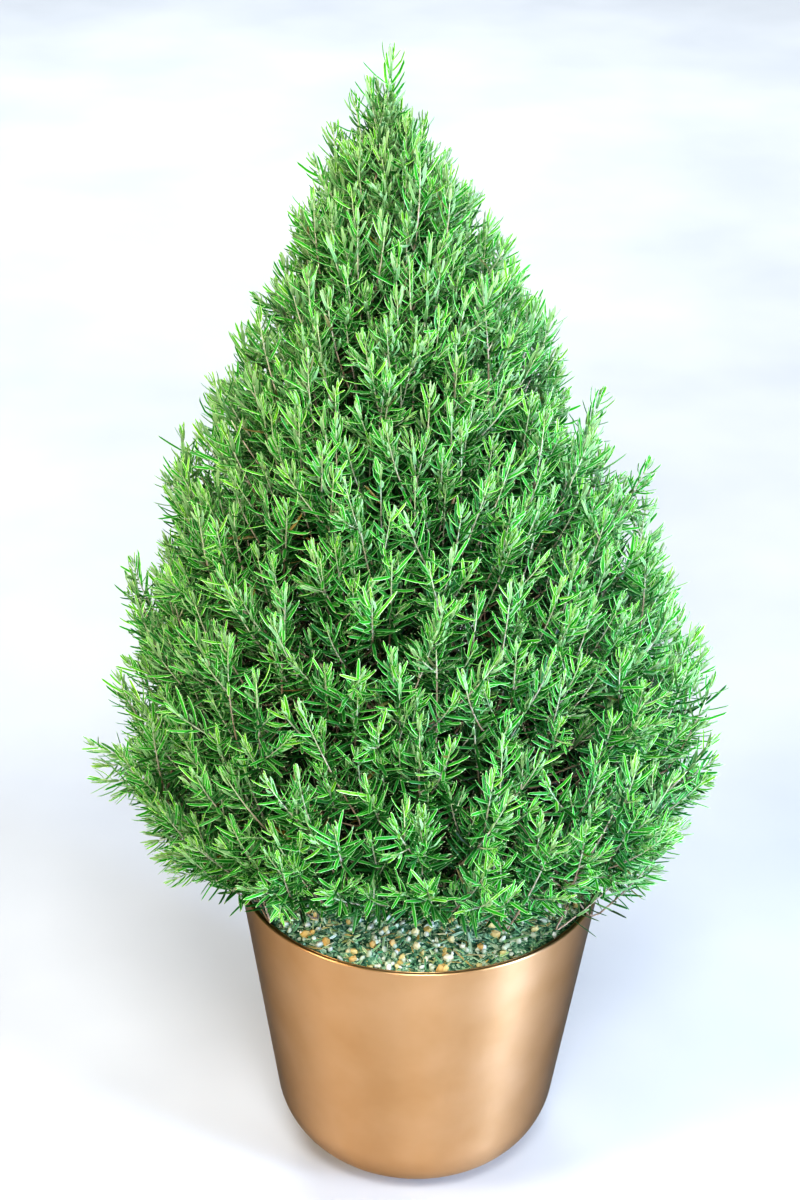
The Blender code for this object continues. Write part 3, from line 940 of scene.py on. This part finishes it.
def youngStem():
    # young rosemary stem: pale felted green-grey at the tip, pinkish grey, then stringy brown bark
    material, tree, shader = newMaterial("rosemaryShootFelt")
    look = addNode(tree, "Attribute", {"attribute_name": "stemLook"})["Vector"]
    spot = addNode(tree, "SeparateXYZ", {"Vector": look})
    colour = addNode(tree, "ValToRGB", {"Fac": spot["X"], "stops": [
        (0.0, "#a8d482"), (0.2, "#cfd8ba"), (0.42, "#c4b4a6"), (0.62, "#94765f"), (1.0, "#5c4434")]})
    fibre = addNode(tree, "VectorMath", {"operation": "MULTIPLY", 0: look, 1: (26, 9, 1)})["Vector"]
    strand = addNode(tree, "TexNoise", {"Vector": fibre, "Scale": 1.0, "Detail": 3.0})["Fac"]
    relief = addNode(tree, "Bump", {"Height": strand, "Distance": 0.25 * mm, "Strength": 0.8})
    colour = layOver(tree, colour["Color"], "#e2cdb2", strand, 0.35, 0.75, 0.6)
    setNode(tree, shader, {"Base Color": colour, "Roughness": 0.8, "Normal": relief["Normal"]})
    return material


shootFelt = youngStem()


def tubes(name, paths, radii, ages, tone, material):
    # many tubes at once: paths is (tubes, rows, 3), radii and ages (tubes, rows)
    count, rows = paths.shape[:2]
    sides = stem["sides"]
    along = np.empty_like(paths)
    along[:, 1:-1] = paths[:, 2:] - paths[:, :-2]
    along[:, 0] = paths[:, 1] - paths[:, 0]
    along[:, -1] = paths[:, -1] - paths[:, -2]
    along = unit(along)
    helper = unit(np.cross(along, slant))
    other = np.cross(along, helper)
    angle = np.arange(sides) * 2 * math.pi / sides
    ring = (helper[:, :, None] * np.cos(angle)[None, None, :, None]
            + other[:, :, None] * np.sin(angle)[None, None, :, None])
    points = (paths[:, :, None] + ring * radii[:, :, None, None]).reshape(-1, 3)
    quads = ringFaces(rows, sides)
    last = (rows - 1) * sides
    ends = np.array([list(range(sides - 1, -1, -1)), [last + side for side in range(sides)]])
    shift = (np.arange(count) * rows * sides)[:, None, None]
    piece = meshPiece(name, points, [(quads[None] + shift).reshape(-1, 4),
                                     (ends[None] + shift).reshape(-1, sides)], material)
    row = np.arange(rows - 1).repeat(sides)
    side = np.tile(np.arange(sides), rows - 1)
    cornerRow = np.stack((row, row, row + 1, row + 1), axis=1).ravel()
    cornerSide = np.stack((side, side + 1, side + 1, side), axis=1).ravel() / sides
    age = ages[:, cornerRow]
    around = np.broadcast_to(cornerSide, age.shape)
    tint = np.broadcast_to(tone[:, None], age.shape)
    sideLook = np.stack((age, around, tint / 7), axis=-1).reshape(-1, 3)
    endAge = np.repeat(ages[:, [0, -1]], sides, axis=1)
    endRound = np.tile(np.arange(sides) / sides, 2)[None] * np.ones((count, 1))
    endTint = np.broadcast_to(tone[:, None], endAge.shape)
    endLook = np.stack((endAge, endRound, endTint / 7), axis=-1).reshape(-1, 3)
    looks = np.vstack((sideLook, endLook))
    paint(piece.data, "stemLook", "CORNER", looks)
    # each tone has its own upright strip of the map, and an end is a thin loop across its strip
    flat = looks.copy()
    ends = slice(len(sideLook), None)
    flat[ends, 0] = np.clip(flat[ends, 0], 0.02, 0.98) + 0.015 * np.sin(2 * math.pi * flat[ends, 1])
    column = np.round(flat[:, 2] * 7)
    layMap(piece.data, np.stack((
        (column + 0.08 + 0.84 * flat[:, 1]) / 8, 0.02 + 0.96 * flat[:, 0]), axis=1))
    return piece


def bezier(first, firstOut, lastIn, last, share):
    t = share[None, :, None]
    points = [first[:, None], firstOut[:, None], lastIn[:, None], last[:, None]]
    return (points[0] * (1 - t) ** 3 + points[1] * 3 * t * (1 - t) ** 2
            + points[2] * 3 * t * t * (1 - t) + points[3] * t ** 3)


def spinePoint(spine, share):
    # place and direction at a share of the spine's length
    steps = np.linalg.norm(np.diff(spine, axis=0), axis=1)
    reach = np.concatenate(([0], np.cumsum(steps))) / steps.sum()

    def placeAt(where):
        return np.stack([np.interp(where, reach, spine[:, axis]) for axis in range(3)], axis=1)

    ahead = placeAt(np.clip(share + 0.05, 0, 1))
    behind = placeAt(np.clip(share - 0.05, 0, 1))
    return placeAt(share), unit(ahead - behind)


def shootPath(batch, rows):
    # from the foot to the tip
    places = [shootPoint(batch, batch["length"] * share)[0] for share in np.linspace(1, 0, rows)]
    return np.stack(places, axis=1)


def twigPath(spine, batch):
    # from the spray's limb to each shoot's foot
    foot, footAim = shootPoint(batch, batch["length"])
    wish = foot - footAim * stem["fork"]
    places, aims = spinePoint(spine, np.linspace(0.02, stem["limbShare"], 41))
    nearest = np.argmin(np.linalg.norm(wish[:, None] - places[None], axis=2), axis=1)
    start = places[nearest]
    gap = np.linalg.norm(foot - start, axis=1)[:, None]
    startAim = unit(aims[nearest] * 0.5 + (foot - start) / gap)
    share = np.linspace(0, 1, stem["twigRows"] + 1)[:-1]
    return bezier(start, start + startAim * gap * 0.33, foot - footAim * gap * 0.33, foot, share)


def joinPieces(pieces):
    with bpy.context.temp_override(active_object=pieces[0], selected_editable_objects=pieces):
        bpy.ops.object.join()


def makeStems():
    dice = np.random.default_rng(crown["seed"] + 5)
    tones = dice.integers(0, 8, len(shoots["tip"]))
    twigShare = np.linspace(0, 1, stem["twigRows"] + 1)[:-1]
    shootShare = np.linspace(0, 1, stem["shootRows"])
    radius = np.concatenate((
        np.linspace(stem["twigRadius"], stem["baseRadius"], stem["twigRows"] + 1)[:-1],
        stem["baseRadius"] + (stem["tipRadius"] - stem["baseRadius"]) * shootShare))
    age = np.concatenate((1.0 - 0.22 * twigShare, 0.78 * (1 - shootShare) ** 0.9))
    tuftRadius = np.linspace(*stem["tuftRadius"], stem["tuftRows"])
    tuftAge = np.linspace(0.35, 0.0, stem["tuftRows"])
    limbRadius = np.linspace(*stem["limbRadius"], stem["limbRows"])
    limbAge = np.linspace(1.0, 0.75, stem["limbRows"])
    for number, name in enumerate(sprays):
        label = name.replace("spray", "stems").replace("crown_tip", "crown_stems")
        home = shoots["home"] == number
        isMain, isSmall = home & ~shoots["isTuft"], home & shoots["isTuft"]
        main, small = pick(shoots, isMain), pick(shoots, isSmall)
        mainCount, smallCount = isMain.sum(), isSmall.sum()
        path = np.concatenate((
            twigPath(spines[name], main), shootPath(main, stem["shootRows"])), axis=1)
        stems = tubes(label, path, np.tile(radius, (mainCount, 1)) * main["vigour"][:, None],
                      np.tile(age, (mainCount, 1)), tones[isMain], shootFelt)
        tufts = tubes(label + "_tufts", shootPath(small, stem["tuftRows"]),
                      np.tile(tuftRadius, (smallCount, 1)), np.tile(tuftAge, (smallCount, 1)),
                      tones[isSmall], shootFelt)
        limbPath, _ = spinePoint(spines[name], np.linspace(0.0, stem["limbShare"], stem["limbRows"]))
        limb = tubes(label + "_limb", limbPath[None], limbRadius[None], limbAge[None],
                     np.array([3]), shootFelt)
        joinPieces([stems, tufts, limb])
        attach(stems, "rosemary_bark")


makeStems()
print("stems set")


def rosemaryBark():
    # old rosemary wood: grey-brown bark that splits into strings along the stem
    material, tree, shader = newMaterial("stringyRosemaryBark")
    place = addNode(tree, "TexCoord", {})["Object"]
    stretch = addNode(tree, "Mapping", {"Vector": place, "Scale": (1.0, 1.0, 0.18)})["Vector"]
    strings = addNode(tree, "TexNoise", {
        "Vector": stretch, "Scale": 1 / (2.2 * mm), "Detail": 4.0, "Roughness": 0.6})["Fac"]
    colour = addNode(tree, "ValToRGB", {"Fac": strings, "stops": [
        (0.3, "#3d2d22"), (0.5, "#6f5746"), (0.7, "#a08973")]})
    relief = addNode(tree, "Bump", {"Height": strings, "Distance": 1.2 * mm})
    setNode(tree, shader, {
        "Base Color": colour["Color"], "Roughness": 0.9, "Normal": relief["Normal"]})
    return material


bark = rosemaryBark()
for name, node in frame["nodes"].items():
    if name == "trunk" or "_branch_" in name:
        for place in node.material_slots:
            place.material = bark
print("bark set")
